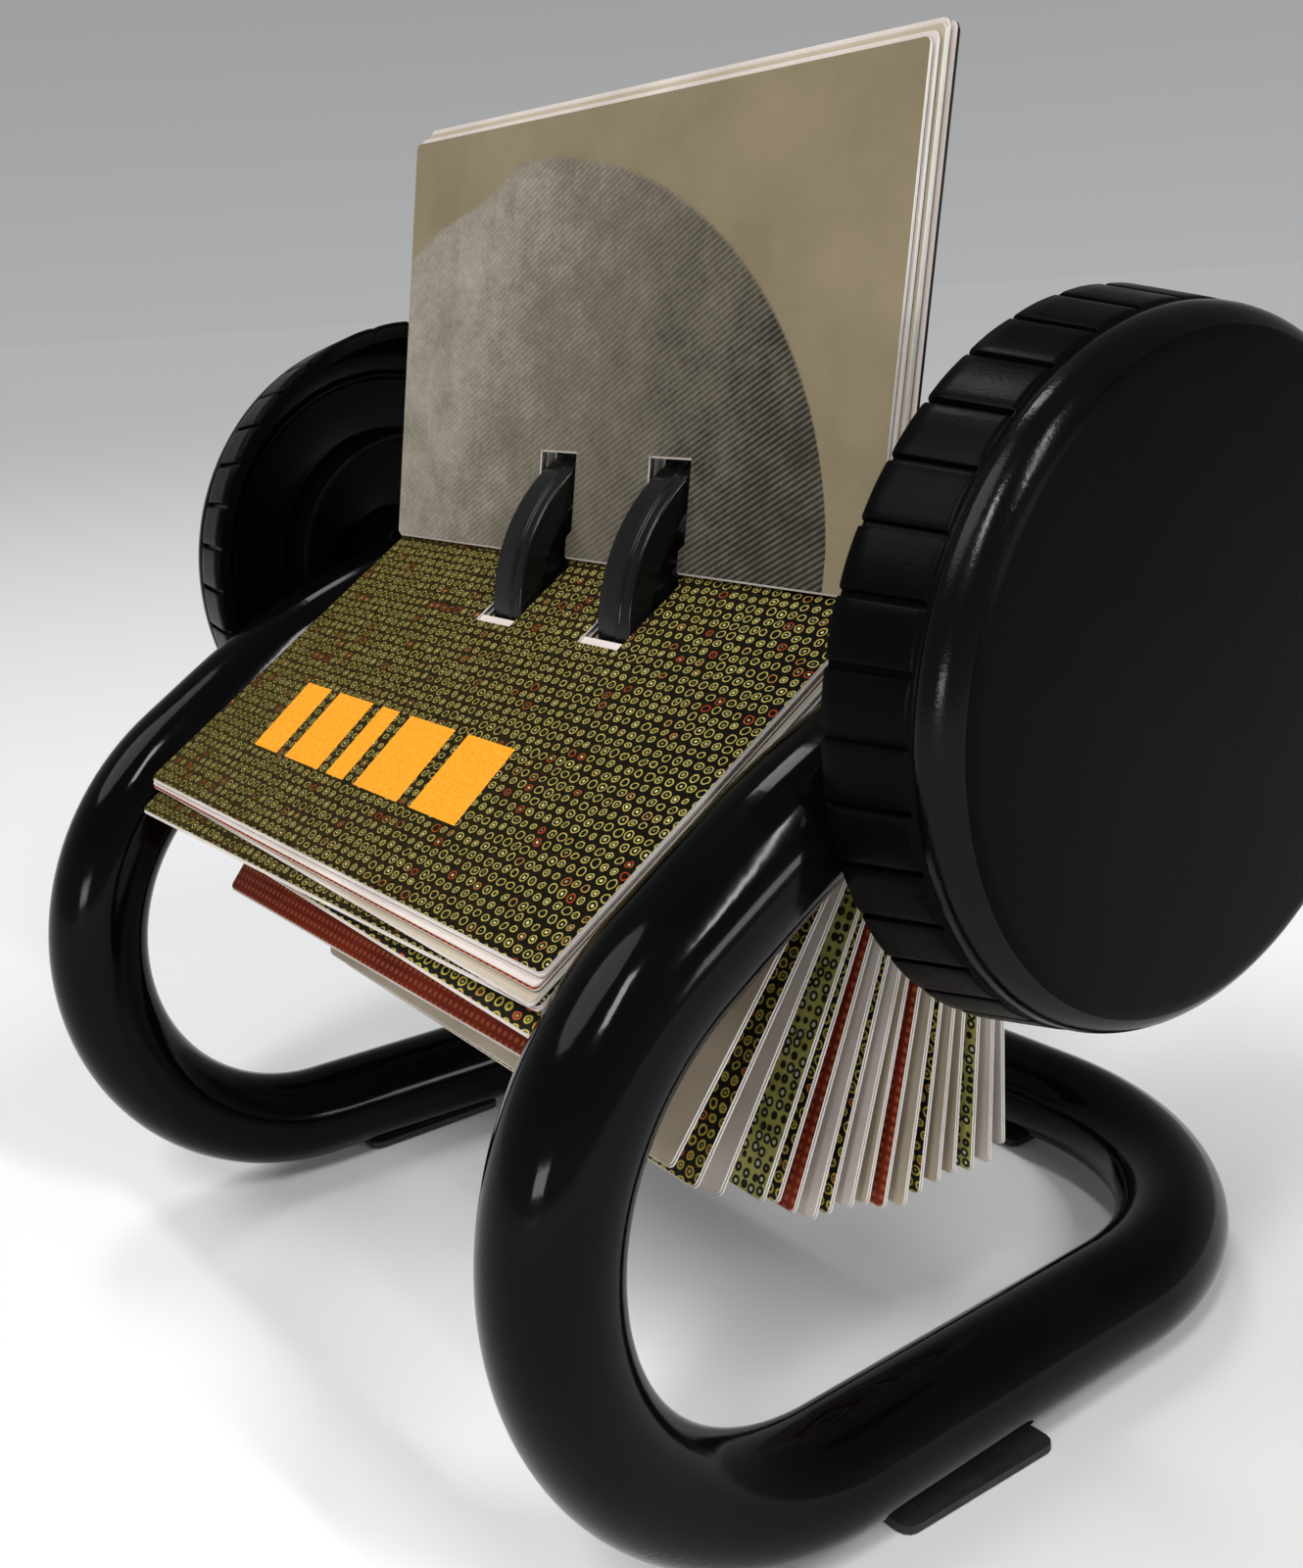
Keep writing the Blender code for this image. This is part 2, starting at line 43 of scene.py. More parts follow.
# ------------------------------------------------------------------ driving sizes
# Millimetres and degrees, the same as in the CAD model.
MM = 0.001
AXLE_H = 98.3         # axle above the table
AXLE_Y = 3.37         # axle behind the origin
TUBE_R = 7.5
TUBE_BORE = 0.84      # inner radius of the tube as a share of the outer
RUN_H = 8.7           # centre line of the bottom runs above the table
TAIL = 9.5            # tube carried past the axle
ARM_DIP = 8.5         # slope of the arm at the axle
ARM_TURN = 32.7       # slope where the gentle upper bend ends
ARM_R = 110.3         # gentle upper bend
NOSE_R = 36.8         # front bend
RUN_X = 60.4          # centre line of a bottom run at the front
ARM_LEAN = 1.5        # how much closer in the arms are at the axle
RUN_TAPER = 2.0       # how much closer in the bottom runs are at the rear
REAR_X = 58.4         # centre line where a rear corner starts
REAR_Y = 62.1         # rear crossbar behind the axle
REAR_R = 41.9         # rear corner bends
KNOB_IN = 66.8        # inner lip of a knob
KNOB_OUT = 81.4       # outer face of a knob
KNOB_PADS = 36
PAD_R = 39.2          # crown of the pads at the lip
PAD_TAPER = 1.55      # less radius at the pads' outer end
PAD_LONG = 8.5
SHOULDER_X, SHOULDER_R, SHOULDER_BEND = 77.4, 33.3, 4.0
WHEELS = (-9.3, 14.3)
WHEEL_HALF = 3.3      # half the width of a wheel's band
WHEEL_R = 23.2
CARD_W, CARD_H = 100.8, 57.5
CARD_CORNER = 0.8
SLOT_HALF = 4.1       # half the width of a slot
SLOT_WIDE = 5.3       # the same for the sheets behind, so that the slots read as dark
SLOT_DEEP = 14.0
NECK_HALF = 3.0       # the slot's narrow mouth
SHEET = 0.24          # thickness of one sheet
SHEET_OUT = 0.15      # each sheet's middle from the middle of its pair


# ------------------------------------------------------------------ node helpers
class Mat:
    """A small wrapper for writing node materials."""

    def __init__(self, name, rough=0.5, base=(0.5, 0.5, 0.5), metal=0.0, spec=0.5):
        self.mat = bpy.data.materials.new(name)
        self.mat.use_nodes = True
        self.tree = self.mat.node_tree
        self.bsdf = self.tree.nodes["Principled BSDF"]
        self.bsdf.inputs["Base Color"].default_value = (*base, 1.0)
        self.bsdf.inputs["Roughness"].default_value = rough
        self.bsdf.inputs["Metallic"].default_value = metal
        self.bsdf.inputs["Specular IOR Level"].default_value = spec

    def put(self, socket, value):
        if isinstance(value, bpy.types.NodeSocket):
            self.tree.links.new(value, socket)
        elif isinstance(value, (tuple, list)):
            size = len(socket.default_value)
            socket.default_value = tuple(value) + (1.0,) * (size - len(value))
        else:
            socket.default_value = value

    def math(self, op, a, b=0.0, clamp=False):
        """One math node; a and b are numbers or sockets."""
        node = self.tree.nodes.new("ShaderNodeMath")
        node.operation = op
        node.use_clamp = clamp
        self.put(node.inputs[0], a)
        self.put(node.inputs[1], b)
        return node.outputs[0]

    def uv(self):
        """Card coordinates in millimetres: across the card, up from the slotted edge."""
        node = self.tree.nodes.new("ShaderNodeUVMap")
        node.uv_map = "card"
        sep = self.tree.nodes.new("ShaderNodeSeparateXYZ")
        self.put(sep.inputs[0], node.outputs[0])
        return sep.outputs[0], sep.outputs[1]

    def xyz(self, x, y, z=0.0):
        node = self.tree.nodes.new("ShaderNodeCombineXYZ")
        self.put(node.inputs[0], x)
        self.put(node.inputs[1], y)
        self.put(node.inputs[2], z)
        return node.outputs[0]

    def place(self):
        """Position in the piece's own space, metres."""
        node = self.tree.nodes.new("ShaderNodeTexCoord")
        return node.outputs["Object"]

    def noise(self, vec, scale, detail=3.0, rough=0.5):
        node = self.tree.nodes.new("ShaderNodeTexNoise")
        self.put(node.inputs["Vector"], vec)
        node.inputs["Scale"].default_value = scale
        node.inputs["Detail"].default_value = detail
        node.inputs["Roughness"].default_value = rough
        return node.outputs["Fac"]

    def cells(self, vec, scale, jitter=1.0):
        node = self.tree.nodes.new("ShaderNodeTexVoronoi")
        self.put(node.inputs["Vector"], vec)
        node.inputs["Scale"].default_value = scale
        node.inputs["Randomness"].default_value = jitter
        return node

    def ramp(self, fac, stops, smooth=False):
        node = self.tree.nodes.new("ShaderNodeValToRGB")
        self.put(node.inputs[0], fac)
        ramp = node.color_ramp
        ramp.interpolation = "EASE" if smooth else "LINEAR"
        while len(ramp.elements) < len(stops):
            ramp.elements.new(0.5)
        for element, (pos, color) in zip(ramp.elements, stops):
            element.position = pos
            element.color = (*color, 1.0)
        return node.outputs[0]

    def mix(self, fac, a, b, mode="MIX"):
        node = self.tree.nodes.new("ShaderNodeMix")
        node.data_type = "RGBA"
        node.blend_type = mode
        self.put(node.inputs[0], fac)
        self.put(node.inputs[6], a)
        self.put(node.inputs[7], b)
        return node.outputs[2]

    def span(self, value, a, b, c=0.0, d=1.0):
        """The value carried from the range a to b onto c to d, and held there at the ends."""
        node = self.tree.nodes.new("ShaderNodeMapRange")
        self.put(node.inputs[0], value)
        for k, v in enumerate((a, b, c, d)):
            node.inputs[k + 1].default_value = v
        return node.outputs[0]

    def bump(self, height, strength, distance):
        node = self.tree.nodes.new("ShaderNodeBump")
        node.inputs["Strength"].default_value = strength
        node.inputs["Distance"].default_value = distance
        self.put(node.inputs["Height"], height)
        self.put(self.bsdf.inputs["Normal"], node.outputs[0])

    def color(self, value):
        self.put(self.bsdf.inputs["Base Color"], value)

    def rough(self, value):
        self.put(self.bsdf.inputs["Roughness"], value)


# ------------------------------------------------------------------ hard materials
def tube_enamel():
    """Gloss black with faint orange peel, and a rough patch low under the front bends."""
    m = Mat("tube_enamel", spec=0.09)
    p = m.place()
    m.color(m.ramp(m.noise(p, 40.0), [(0.3, (0.0010, 0.0010, 0.0010)), (0.7, (0.0022, 0.0022, 0.0021))]))
    m.rough(m.span(m.noise(p, 90.0, 4.0), 0.3, 0.75, 0.06, 0.15))
    peel = m.noise(p, 420.0, 2.0)
    sep = m.tree.nodes.new("ShaderNodeSeparateXYZ")
    m.put(sep.inputs[0], p)
    under = m.math("MULTIPLY", m.span(sep.outputs[1], -0.049, -0.063), m.span(sep.outputs[2], 0.020, 0.006))
    grain = m.math("MULTIPLY", m.noise(p, 1500.0, 2.0), under)
    m.bump(m.math("ADD", m.math("MULTIPLY", peel, 0.10), m.math("MULTIPLY", grain, 1.6)), 0.5, 0.0003)
    return m.mat


def knob_plastic(name, spec, low, high):
    m = Mat(name, spec=spec)
    p = m.place()
    m.color(m.ramp(m.noise(p, 30.0), [(0.3, (0.0012, 0.0012, 0.0013)), (0.7, (0.0024, 0.0024, 0.0027))]))
    m.rough(m.span(m.noise(p, 160.0, 5.0), 0.3, 0.7, low, high))
    m.bump(m.math("ADD", m.noise(p, 2600.0, 2.0), m.math("MULTIPLY", m.noise(p, 300.0), 0.5)), 0.22, 0.00008)
    return m.mat


def wheel_plastic():
    m = Mat("wheel_plastic", spec=0.22)
    p = m.place()
    m.color(m.ramp(m.noise(p, 60.0), [(0.3, (0.003, 0.003, 0.003)), (0.7, (0.006, 0.006, 0.0055))]))
    m.rough(m.span(m.noise(p, 200.0, 4.0), 0.3, 0.7, 0.12, 0.22))
    m.bump(m.noise(p, 900.0, 2.0), 0.15, 0.0001)
    return m.mat


def plain(name, color, low, high, metal=0.0, grain=800.0, depth=0.00008):
    m = Mat(name, metal=metal)
    p = m.place()
    dark = tuple(c * 0.8 for c in color)
    m.color(m.ramp(m.noise(p, 120.0), [(0.3, dark), (0.7, color)]))
    m.rough(m.span(m.noise(p, 400.0, 4.0), 0.3, 0.7, low, high))
    m.bump(m.noise(p, grain, 3.0), 0.3, depth)
    return m.mat


# ------------------------------------------------------------------ card stocks
INK = (0.010, 0.009, 0.007)


def paper(m, vec):
    fibre = m.noise(vec, 2.4, 5.0, 0.7)
    m.rough(m.span(fibre, 0.3, 0.7, 0.42, 0.60))
    m.bump(fibre, 0.25, 0.00006)
    return fibre


def stock_plain(name, light, dark):
    m = Mat(name, spec=0.10)
    x, v = m.uv()
    vec = m.xyz(x, v)
    fibre = paper(m, vec)
    wash = m.noise(vec, 0.05, 4.0)
    base = m.ramp(wash, [(0.3, dark), (0.7, light)])
    m.color(m.mix(m.span(fibre, 0.35, 0.7, 0.0, 0.22), base, tuple(c * 0.75 for c in dark)))
    return m.mat


def rings(m, x, v, pitch, ring, ink, spark, accent, wide=(0.27, 0.37), thick=0.085):
    """Dark ink crowded with small open rings, each with a bright middle, in staggered rows."""
    warp = m.math("MULTIPLY", m.math("SUBTRACT", m.noise(m.xyz(x, v), 0.35), 0.5), 0.9)
    row = m.math("DIVIDE", m.math("ADD", v, warp), pitch * 0.88)
    half = m.math("MULTIPLY", m.math("MODULO", m.math("FLOOR", row), 2.0), 0.5)
    col = m.math("ADD", m.math("DIVIDE", m.math("ADD", x, warp), pitch), half)
    cell = m.cells(m.xyz(m.math("ADD", col, 0.58), m.math("ADD", row, 0.58)), 1.0, jitter=0.16)
    d = cell.outputs["Distance"]
    sep = m.tree.nodes.new("ShaderNodeSeparateColor")
    m.put(sep.inputs[0], cell.outputs["Color"])
    size = m.span(sep.outputs[0], 0.0, 1.0, wide[0], wide[1])
    band = m.math("ABSOLUTE", m.math("SUBTRACT", d, size))
    line = m.span(band, thick, thick * 0.45)
    dot = m.span(d, 0.17, 0.09)
    area_tone = m.noise(m.xyz(x, v), 0.12, 2.0)
    pick = m.math("ADD", m.math("MULTIPLY", sep.outputs[1], 0.7), m.math("MULTIPLY", area_tone, 0.5))
    tint = m.mix(m.span(pick, 0.86, 0.94), ring, accent)
    color = m.mix(line, ink, tint)
    return m.mix(m.math("MULTIPLY", dot, m.span(sep.outputs[2], 0.25, 0.6)), color, spark)


def stock_lattice(name, bars=False):
    """Fine rings on black, fading to olive at one end, which also paints shade: darker on the side near the right
    knob, lighter to the left; bars: five slanted orange bars on top.
    """
    m = Mat(name, spec=0.03)
    x, v = m.uv()
    vec = m.xyz(x, v)
    paper(m, vec)
    # Printed fade to olive at the left end, which also serves as painted shade: the side near the right knob keeps
    # the darker ring pattern.
    olive_fade_and_painted_shade = m.span(m.math("SUBTRACT", m.math("MULTIPLY", v, 0.35), x), -42.0, 58.0)
    fine = rings(m, x, v, 1.75, (0.38, 0.31, 0.078), (0.003, 0.0028, 0.0020), (0.95, 0.90, 0.42),
                 (0.30, 0.040, 0.010), thick=0.065)
    olive = m.ramp(m.noise(vec, 0.9, 3.0), [(0.3, (0.026, 0.018, 0.005)), (0.7, (0.098, 0.072, 0.018))])
    color = m.mix(m.math("MULTIPLY", olive_fade_and_painted_shade, 0.45), fine, olive)
    if bars:
        lean = m.math("SUBTRACT", x, m.math("MULTIPLY", v, 0.15))
        inside = m.math("MULTIPLY", m.math("GREATER_THAN", v, 33.5), m.math("LESS_THAN", v, 46.0))
        total = None
        for start, width in ((-41.0, 7.0), (-31.5, 9.5), (-19.5, 4.6), (-12.0, 11.0), (2.0, 10.4)):
            a = m.math("GREATER_THAN", lean, start)
            b = m.math("LESS_THAN", lean, start + width)
            one = m.math("MULTIPLY", a, b)
            total = one if total is None else m.math("ADD", total, one, clamp=True)
        orange = m.ramp(m.noise(vec, 1.6, 4.0), [(0.3, (0.72, 0.27, 0.015)), (0.7, (0.86, 0.36, 0.03))])
        color = m.mix(m.math("MULTIPLY", total, inside), color, orange)
    m.color(color)
    return m.mat


def stock_olive(name):
    """Olive ground with dark open rings round pale middles."""
    m = Mat(name, spec=0.10)
    x, v = m.uv()
    paper(m, m.xyz(x, v))
    cell = m.cells(m.xyz(x, v), 1.0 / 1.45, jitter=0.38)
    d = cell.outputs["Distance"]
    ring = m.span(m.math("ABSOLUTE", m.math("SUBTRACT", d, 0.33)), 0.15, 0.09)
    ground = m.ramp(m.noise(m.xyz(x, v), 0.25), [(0.3, (0.30, 0.28, 0.05)), (0.7, (0.44, 0.42, 0.15))])
    middle = m.mix(m.span(d, 0.24, 0.16), ground, (0.52, 0.53, 0.42))
    m.color(m.mix(ring, middle, (0.014, 0.013, 0.010)))
    return m.mat


def stock_dark(name):
    """Coarser gold rings on dark ink."""
    m = Mat(name, spec=0.10)
    x, v = m.uv()
    paper(m, m.xyz(x, v))
    m.color(rings(m, x, v, 1.8, (0.50, 0.40, 0.07), INK, (0.75, 0.62, 0.20), (0.50, 0.09, 0.02), thick=0.10))
    return m.mat


def stock_red(name):
    """Dark red with a regular grid of lighter dots."""
    m = Mat(name, spec=0.10)
    x, v = m.uv()
    paper(m, m.xyz(x, v))
    cell = m.cells(m.xyz(x, v), 1.0 / 1.25, jitter=0.0)
    dots = m.span(cell.outputs["Distance"], 0.36, 0.20)
    ground = m.ramp(m.noise(m.xyz(x, v), 0.10), [(0.3, (0.135, 0.014, 0.006)), (0.7, (0.205, 0.022, 0.008))])
    m.color(m.mix(dots, ground, (0.34, 0.085, 0.035)))
    return m.mat


def stock_dome(name):
    """Tan card carrying a grey half-tone dome shape."""
    m = Mat(name, spec=0.10)
    x, v = m.uv()
    vec = m.xyz(x, v)
    fibre = paper(m, vec)
    wash = m.noise(vec, 0.045, 5.0, 0.6)
    tan = m.ramp(wash, [(0.25, (0.160, 0.130, 0.078)), (0.75, (0.245, 0.200, 0.126))])
    out = m.math("DIVIDE", m.math("MAXIMUM", m.math("ADD", x, 19.8), 0.0), 63.4)
    round_off = m.math("SQRT", m.math("MAXIMUM", m.math("SUBTRACT", 1.0, m.math("MULTIPLY", out, out)), 0.0))
    arch = m.math("SUBTRACT", m.math("MULTIPLY", round_off, 52.4), m.span(x, 43.4, 43.8, 0.0, 60.0))
    left = m.math("MULTIPLY", m.math("MAXIMUM", m.math("SUBTRACT", -22.0, x), 0.0), 0.43)
    left = m.math("ADD", left, m.math("MULTIPLY", m.math("SINE", m.math("MULTIPLY", left, 0.52)), 0.8))
    edge = m.math("SUBTRACT", m.math("SUBTRACT", arch, left), v)
    inside = m.span(m.math("ADD", edge, m.math("MULTIPLY", m.noise(vec, 1.3), 0.6)), 0.0, 0.8)
    slant = m.math("SUBTRACT", m.math("MULTIPLY", v, 0.88), m.math("MULTIPLY", x, 0.47))
    wave = m.math("SINE", m.math("MULTIPLY", slant, 8.4))
    depth = m.span(m.math("SUBTRACT", x, m.math("MULTIPLY", v, 0.35)), -46.0, 30.0)
    mottle = m.math("ADD", m.math("MULTIPLY", m.noise(vec, 0.11, 7.0, 0.72), 0.75),
                    m.math("MULTIPLY", m.noise(vec, 1.1, 3.0, 0.7), 0.3))
    tone = m.math("ADD", m.math("MULTIPLY", m.math("SUBTRACT", mottle, 0.25), 1.0), m.math("MULTIPLY", depth, 0.62))
    tone = m.math("ADD", tone, m.math("MULTIPLY", m.math("MULTIPLY", wave, 0.16), m.math("ADD", depth, 0.15)))
    grey = m.ramp(tone, [(0.10, (0.34, 0.31, 0.255)), (0.45, (0.150, 0.132, 0.100)), (1.0, (0.020, 0.017, 0.013))])
    color = m.mix(inside, tan, grey)
    specks = m.cells(vec, 0.42)
    worn = m.math("MULTIPLY", m.span(specks.outputs["Distance"], 0.09, 0.03), m.span(wash, 0.5, 0.7))
    m.color(m.mix(m.math("MULTIPLY", worn, 0.5), color, (0.09, 0.075, 0.055)))
    return m.mat


TUBE = tube_enamel()
KNOB = knob_plastic("knob_plastic", 0.028, 0.24, 0.34)
KNOB_SHOULDER = knob_plastic("knob_shoulder", 0.12, 0.13, 0.22)
WHEEL = wheel_plastic()
STEEL = plain("bright_steel", (0.62, 0.62, 0.63), 0.18, 0.32, 1.0)
SPRING = plain("spring_steel", (0.50, 0.50, 0.52), 0.22, 0.36, 1.0)
BUSH = plain("bush_nylon", (0.30, 0.30, 0.29), 0.45, 0.6)
PLUG = plain("plug_plastic", (0.014, 0.014, 0.015), 0.42, 0.6)
RUBBER = plain("foot_rubber", (0.013, 0.013, 0.013), 0.6, 0.85, 0.0, 2200.0, 0.0005)
EDGE = stock_plain("card_edge", (0.84, 0.81, 0.76), (0.68, 0.64, 0.59))
BLACK_EDGE = stock_plain("black_card_edge", (0.020, 0.019, 0.018), (0.010, 0.010, 0.009))
STOCKS = {
    "tan": stock_plain("stock_tan", (0.54, 0.47, 0.36), (0.40, 0.335, 0.25)),
    "white": stock_plain("stock_white", (0.72, 0.66, 0.61), (0.56, 0.49, 0.45)),
    "lattice": stock_lattice("stock_lattice"),
    "bars": stock_lattice("stock_lattice_bars", True),
    "olive": stock_olive("stock_olive"),
    "dark": stock_dark("stock_dark"),
    "red": stock_red("stock_red"),
    "dome": stock_dome("stock_dome"),
}


# ------------------------------------------------------------------ floor, light, camera
def stage():
    bpy.ops.mesh.primitive_plane_add(size=40.0, location=(0, 0, -0.0002))
    floor = bpy.context.object
    floor.name = "floor"
    m = Mat("floor_pale", rough=0.75, base=(0.93, 0.93, 0.93), spec=0.05)
    floor.data.materials.append(m.mat)
    world = bpy.data.worlds.new("studio")
    SC.world = world
    world.use_nodes = True
    tree = world.node_tree
    back = tree.nodes["Background"]
    where = tree.nodes.new("ShaderNodeTexCoord")
    sep = tree.nodes.new("ShaderNodeSeparateXYZ")
    height = tree.nodes.new("ShaderNodeMapRange")
    ramp = tree.nodes.new("ShaderNodeValToRGB")
    tree.links.new(where.outputs["Generated"], sep.inputs[0])
    tree.links.new(sep.outputs[2], height.inputs[0])
    height.inputs[1].default_value = 0.0
    height.inputs[2].default_value = 0.5
    tree.links.new(height.outputs[0], ramp.inputs[0])
    ramp.color_ramp.elements[0].color = (0.425, 0.428, 0.432, 1.0)
    ramp.color_ramp.elements[1].color = (0.17, 0.174, 0.18, 1.0)
    tree.links.new(ramp.outputs[0], back.inputs[0])
    back.inputs[1].default_value = 1.0


def area(name, where, target, wide, power, tall):
    data = bpy.data.lights.new(name, "AREA")
    data.energy = power
    data.shape = "RECTANGLE"
    data.size = wide
    data.size_y = tall
    obj = bpy.data.objects.new(name, data)
    obj.location = where
    direction = Vector(target) - Vector(where)
    obj.rotation_euler = direction.to_track_quat("-Z", "Y").to_euler()
    SC.collection.objects.link(obj)


def camera():
    """A close hand-held view from the front right, a little above the axle."""
    azimuth, elevation, roll = (math.radians(a) for a in (57.34, -16.31, -3.78))
    fwd = Vector((-math.sin(azimuth) * math.cos(elevation), math.cos(azimuth) * math.cos(elevation),
                  math.sin(elevation)))
    right = fwd.cross(Vector((0, 0, 1))).normalized()
    up = right.cross(fwd)
    r2 = right * math.cos(roll) + up * math.sin(roll)
    u2 = up * math.cos(roll) - right * math.sin(roll)
    data = bpy.data.cameras.new("camera")
    data.sensor_width = 36.0
    data.lens = 39.19
    data.shift_x = 0.103
    data.shift_y = 0.0125
    data.clip_start = 0.01
    data.clip_end = 20.0
    obj = bpy.data.objects.new("camera", data)
    turn = Matrix((r2, u2, -fwd)).transposed()
    obj.matrix_world = Matrix.Translation((0.1819, -0.1504 + AXLE_Y * MM, 0.1395)) @ turn.to_4x4()
    SC.collection.objects.link(obj)
    SC.camera = obj


def sun(name, direction, strength, angle):
    data = bpy.data.lights.new(name, "SUN")
    data.energy = strength
    data.angle = math.radians(angle)
    obj = bpy.data.objects.new(name, data)
    obj.rotation_euler = Vector(direction).to_track_quat("-Z", "Y").to_euler()
    SC.collection.objects.link(obj)


stage()
camera()
# name, place, aimed at, width, watts, height
area("strip", (0.42, -0.62, 0.86), (0.06, -0.06, 0.08), 0.12, 4.3, 0.30)
area("shoulder_glow", (0.74, -0.03, 0.76), (0.08, -0.02, 0.125), 0.04, 3.0, 0.36)
area("skylight", (-0.42, 0.02, 1.20), (-0.05, -0.03, 0.09), 0.16, 2.4, 0.40)
area("low_window", (1.15, 0.42, 0.26), (0.06, 0, 0.11), 0.40, 2.6, 0.16)
area("low_front", (0.45, -1.10, 0.16), (0.02, 0, 0.06), 0.30, 2.2, 0.14)
sun("soft_sun", (0.35, 0.62, -0.85), 1.20, 35.0)


# ------------------------------------------------------------------ fine meshes
def piece(name, verts, faces, mat, body, nodes, smooth):
    """One visible piece from vertices in millimetres about the axle; edges past smooth degrees stay sharp."""
    mesh = bpy.data.meshes.new(name)
    mesh.from_pydata([tuple((np.array(v, dtype=float) + (0.0, AXLE_Y, 0.0)) * MM) for v in verts], [], faces)
    mesh.update()
    obj = bpy.data.objects.new(name, mesh)
    SC.collection.objects.link(obj)
    mesh.materials.append(mat)
    mesh.shade_smooth()
    mesh.set_sharp_from_angle(angle=math.radians(smooth))
    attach(obj, body)
    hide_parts(*nodes)
    return obj


def tube_line():
    """Centre line of the bent tube, as finely as it needs to look round."""
    a0, a1 = math.radians(ARM_DIP), math.radians(ARM_TURN)
    drop = AXLE_H - RUN_H - ARM_R * (math.cos(a0) - math.cos(a1)) - NOSE_R * (math.cos(a1) + 1.0)
    straight = drop / math.sin(a1)
    pts = [(TAIL * math.cos(a0), AXLE_H + TAIL * math.sin(a0)), (0.0, AXLE_H)]
    y0, z0 = pts[-1]
    for k in range(1, 17):
        a = a0 + (a1 - a0) * k / 16.0
        pts.append((y0 - ARM_R * (math.sin(a) - math.sin(a0)), z0 - ARM_R * (math.cos(a0) - math.cos(a))))
    y0, z0 = pts[-1]
    for k in range(1, 4):
        pts.append((y0 - straight * math.cos(a1) * k / 3.0, z0 - straight * math.sin(a1) * k / 3.0))
    y0, z0 = pts[-1]
    for k in range(1, 57):
        a = a1 + (math.pi - a1) * k / 56.0
        pts.append((y0 - NOSE_R * (math.sin(a) - math.sin(a1)), z0 - NOSE_R * (math.cos(a1) - math.cos(a))))
    side = [(RUN_X - ARM_LEAN * (z - RUN_H) / (AXLE_H - RUN_H), y, z) for y, z in pts]
    y_now, y_end = pts[-1][0], REAR_Y - REAR_R
    for k in range(1, 9):
        t = k / 8.0
        side.append((RUN_X - RUN_TAPER * t, y_now + (y_end - y_now) * t, RUN_H))
    for k in range(1, 33):
        a = math.radians(90.0 * k / 32.0)
        side.append((REAR_X - REAR_R + REAR_R * math.cos(a), y_end + REAR_R * math.sin(a), RUN_H))
    right = [np.array(p) for p in side]
    left = [np.array((-p[0], p[1], p[2])) for p in side]
    return right + left[::-1]


def tube():
    """The tube swept along its line, with its two open ends hollowed a little way in."""
    path = tube_line()
    n = len(path)
    seg = 48
    side = np.array((1.0, 0.0, 0.0))
    verts = []
    faces = []
    for i in range(n):
        t = path[min(i + 1, n - 1)] - path[max(i - 1, 0)]
        t = t / np.linalg.norm(t)
        side = side - t * np.dot(side, t)
        side = side / np.linalg.norm(side)
        up = np.cross(t, side)
        for k in range(seg):
            a = 2 * math.pi * k / seg
            verts.append(path[i] + TUBE_R * (math.cos(a) * side + math.sin(a) * up))
    for i in range(n - 1):
        for k in range(seg):
            m = (k + 1) % seg
            faces.append((i * seg + k, i * seg + m, (i + 1) * seg + m, (i + 1) * seg + k))
    base = len(verts)
    hollow = 6.0
    for i in (0, n - 1):
        t = path[0] - path[1] if i == 0 else path[-1] - path[-2]
        for k in range(seg):
            rim = np.array(verts[i * seg + k])
            verts.append(path[i] + (rim - path[i]) * TUBE_BORE)
        for k in range(seg):
            m = (k + 1) % seg
            quad = (i * seg + k, base + k, base + m, i * seg + m)
            faces.append(quad if i == 0 else quad[::-1])
        deep = len(verts)
        for k in range(seg):
            verts.append(np.array(verts[base + k]) - t / np.linalg.norm(t) * hollow)
        for k in range(seg):
            m = (k + 1) % seg
            quad = (base + k, deep + k, deep + m, base + m)
            faces.append(quad if i == 0 else quad[::-1])
        base = len(verts)
    piece("tube_stand", verts, faces, TUBE, "stand", ["tube_frame"], 50)


def turned(name, profile, seg, mat, body, node, smooth):
    """A closed profile of (x, radius) turned about the axle."""
    verts = []
    faces = []
    rows = []
    for x, r in profile:
        row = []
        for k in range(seg):
            a = 2 * math.pi * k / seg
            row.append(len(verts))
            verts.append((x, r * math.cos(a), AXLE_H + r * math.sin(a)))
        rows.append(row)
    rows.append(rows[0])
    for low, high in zip(rows[:-1], rows[1:]):
        for k in range(seg):
            m = (k + 1) % seg
            faces.append((low[k], low[m], high[m], high[k]))
    piece(name, verts, faces, mat, body, [node], smooth)


def softened(points, radius, steps=4):
    """The closed profile with each corner replaced by a small arc."""
    out = []
    n = len(points)
    for i in range(n):
        p = np.array(points[i], float)
        a = np.array(points[i - 1], float) - p
        b = np.array(points[(i + 1) % n], float) - p
        la, lb = np.linalg.norm(a), np.linalg.norm(b)
        cut = min(radius, 0.42 * la, 0.42 * lb)
        for k in range(steps + 1):
            t = k / steps
            q = (1 - t) ** 2 * (p + a / la * cut) + 2 * t * (1 - t) * p + t ** 2 * (p + b / lb * cut)
            out.append(tuple(q))
    return out


def wheels():
    """Two card wheels: hub, thin web, and a band with a low ridge on its rim."""
    bore, hub, hub_half, web = 3.2, 6.4, 5.0, 1.6
    root, inner, ridge = 7.2, 19.2, 23.42
    for tag, x in zip(("left", "right"), WHEELS):
        profile = [(x - hub_half, bore), (x - hub_half, hub), (x - web, root), (x - web, inner),
                   (x - WHEEL_HALF, 19.6), (x - WHEEL_HALF, WHEEL_R), (x + 0.4, WHEEL_R), (x + 0.7, ridge),
                   (x + 1.3, ridge), (x + web, WHEEL_R), (x + WHEEL_HALF, WHEEL_R), (x + WHEEL_HALF, 19.6),
                   (x + web, inner), (x + web, root), (x + hub_half, hub), (x + hub_half, bore)]
        turned("wheel_" + tag, softened(profile, 0.45), 160, WHEEL, "rotor", "card_wheel_" + tag,
               60.0)


